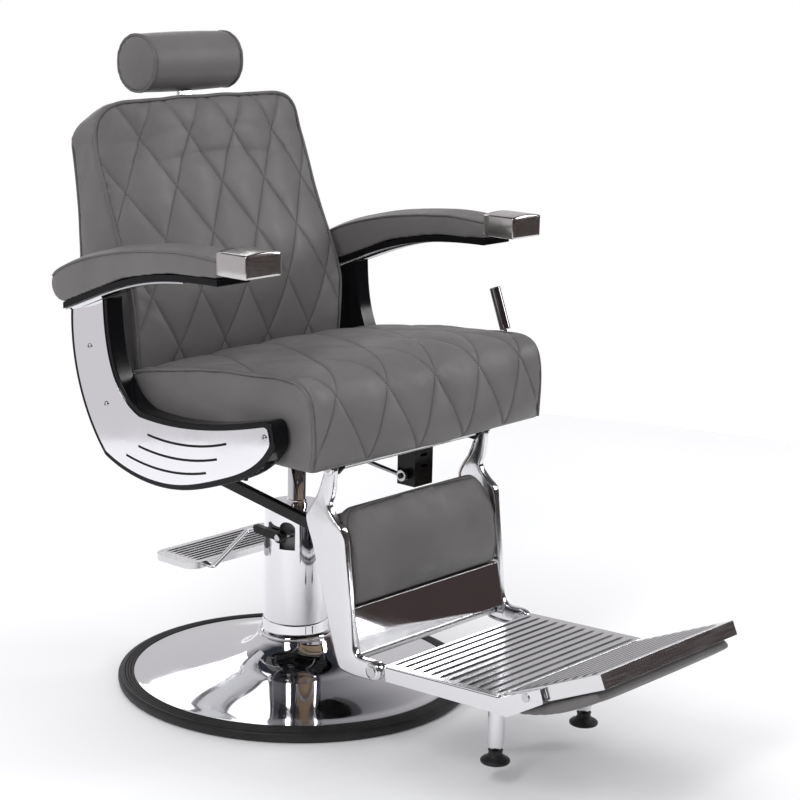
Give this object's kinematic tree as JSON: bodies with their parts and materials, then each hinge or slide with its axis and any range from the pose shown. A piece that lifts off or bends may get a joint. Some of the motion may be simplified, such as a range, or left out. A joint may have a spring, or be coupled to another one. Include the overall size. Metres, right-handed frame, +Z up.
{
  "type": "hydraulic barber chair",
  "caption": "Reclining hydraulic barber chair with quilted seat and back, mirror side panels, headrest, linked legrest and folding footrest on a round base.",
  "frame": {"origin": "centre of the round base on the floor", "axes": "+Z up along the ram, -Y the way the sitter faces, +X the sitter's left"},
  "size_m": [0.747, 1.1776, 1.1635],
  "materials": {
    "grey_leatherette": "matt grained, quilted",
    "chrome": "mirror",
    "dark_chrome": "mirror",
    "cast_aluminium": "polished casting",
    "satin_aluminium": "satin",
    "ribbed_steel": "polished, ribbed",
    "plain_steel": "turned",
    "black_metal": "black gloss paint",
    "grey_metal": "grey paint",
    "black_panel": "black gloss",
    "black_rubber": "matt",
    "plywood": "raw plywood",
    "cast_iron": "rough casting"
  },
  "bodies": {
    "base": {"base_plate": "chrome", "base_rubber_ring": "black_rubber", "base_ballast": "cast_iron", "pump_body": "grey_metal", "pump_bolts": "plain_steel", "column_cover": "chrome", "column_collar": "chrome", "dust_seal": "chrome"},
    "pedal": {"pedal_shaft": "plain_steel", "pedal_levers": "black_metal", "pedal_rods": "chrome", "pedal_plate": "ribbed_steel"},
    "ram": {"piston_ram": "chrome"},
    "seat": {"seat_hub": "black_metal", "frame_rails": "black_metal", "frame_crossbars": "black_metal", "side_brackets": "black_metal", "hinge_plates": "black_metal", "legrest_ears": "black_metal", "lock_bracket": "black_metal", "seat_board": "plywood", "seat_cushion": "grey_leatherette", "side_cores": "black_panel", "side_plates": "chrome", "side_screws": "chrome", "arm_boards": "black_panel", "arm_straps": "chrome", "arm_pads": "grey_leatherette", "arm_caps": "satin_aluminium", "lever_pivot": "plain_steel"},
    "lever": {"lever_rod": "chrome", "lever_knob": "dark_chrome"},
    "back": {"back_cushion": "grey_leatherette", "back_shell": "grey_leatherette", "back_board": "plywood", "back_straps": "black_metal", "torsion_tube": "black_metal", "headrest_socket": "black_metal"},
    "headrest": {"headrest_cushion": "grey_leatherette", "headrest_core": "plywood", "headrest_stem": "chrome"},
    "legrest": {"legrest_arm_left": "cast_aluminium", "legrest_arm_right": "cast_aluminium", "legrest_shafts": "plain_steel", "calf_pad": "grey_leatherette", "calf_board": "plywood", "kick_plate": "chrome"},
    "link": {"link_bar": "black_metal", "link_bolt": "plain_steel"},
    "lock_rod": {"lock_rod": "plain_steel"},
    "lock_cylinder": {"lock_cylinder": "black_metal"},
    "footplate": {"foot_rails": "cast_aluminium", "foot_pins": "plain_steel", "foot_crossbars": "black_metal", "tread_plate": "ribbed_steel", "foot_legs": "chrome"},
    "foot_left": {"foot_pad_left": "black_rubber"},
    "foot_right": {"foot_pad_right": "black_rubber"},
    "toe_flap": {"toe_tray": "ribbed_steel", "toe_pad": "grey_leatherette"}
  },
  "joints": [
    {"name": "pedal_pump", "type": "hinge", "parent": "base", "child": "pedal", "pos_m": [0, -0.026, 0.29], "axis": [-1, 0, 0], "range_deg": [0, 14], "stiffness_Nm_per_rad": 15, "springref_deg": -17.19},
    {"name": "piston_lift", "type": "slide", "parent": "base", "child": "ram", "axis": [0, 0, 1], "range_m": [-0.03, 0.12]},
    {"name": "seat_swivel", "type": "hinge", "parent": "ram", "child": "seat", "pos_m": [0, 0, 0.47], "axis": [0, 0, 1], "continuous": true},
    {"name": "recline_lever", "type": "hinge", "parent": "seat", "child": "lever", "pos_m": [0.345, -0.225, 0.552], "axis": [-1, 0, 0], "range_deg": [0, 20], "stiffness_Nm_per_rad": 2, "springref_deg": -11.46},
    {"name": "back_recline", "type": "hinge", "parent": "seat", "child": "back", "pos_m": [0, 0.165, 0.53], "axis": [-1, 0, 0], "range_deg": [0, 45]},
    {"name": "headrest_slide", "type": "slide", "parent": "back", "child": "headrest", "axis": [0, 0.1478, 0.989], "range_m": [0, 0.08]},
    {"name": "legrest_swing", "type": "hinge", "parent": "seat", "child": "legrest", "pos_m": [0, -0.266, 0.484], "axis": [-1, 0, 0], "range_deg": [-0.5, 27.5]},
    {"name": "link_swing", "type": "hinge", "parent": "legrest", "child": "link", "pos_m": [-0.182, -0.243, 0.37], "axis": [-1, 0, 0], "range_deg": [-32.8, 0.5]},
    {"name": "lock_rod_swing", "type": "hinge", "parent": "seat", "child": "lock_rod", "pos_m": [0.075, -0.186, 0.408], "axis": [-1, 0, 0], "range_deg": [-7.6, 0.5]},
    {"name": "lock_slide", "type": "slide", "parent": "lock_rod", "child": "lock_cylinder", "axis": [0, 0.9925, 0.1222], "range_m": [-0.0482, 0.001]},
    {"name": "footplate_fold", "type": "hinge", "parent": "legrest", "child": "footplate", "pos_m": [0, -0.371, 0.161], "axis": [-1, 0, 0], "range_deg": [0, 70]},
    {"name": "foot_level_left", "type": "slide", "parent": "footplate", "child": "foot_left", "axis": [0, 0, 1], "range_m": [-0.008, 0.003]},
    {"name": "foot_level_right", "type": "slide", "parent": "footplate", "child": "foot_right", "axis": [0, 0, 1], "range_m": [-0.008, 0.003]},
    {"name": "toe_flap_flip", "type": "hinge", "parent": "footplate", "child": "toe_flap", "pos_m": [0, -0.682, 0.198], "axis": [-1, 0, 0], "range_deg": [0, 142]}
  ],
  "couplings": [
    {"joint": "legrest_swing", "follows": "back_recline", "ratio": 0.6006},
    {"joint": "link_swing", "follows": "back_recline", "ratio": -0.7187},
    {"joint": "lock_rod_swing", "follows": "back_recline", "ratio": -0.1586},
    {"joint": "lock_slide", "follows": "back_recline", "m_per_rad": -0.06011}
  ]
}
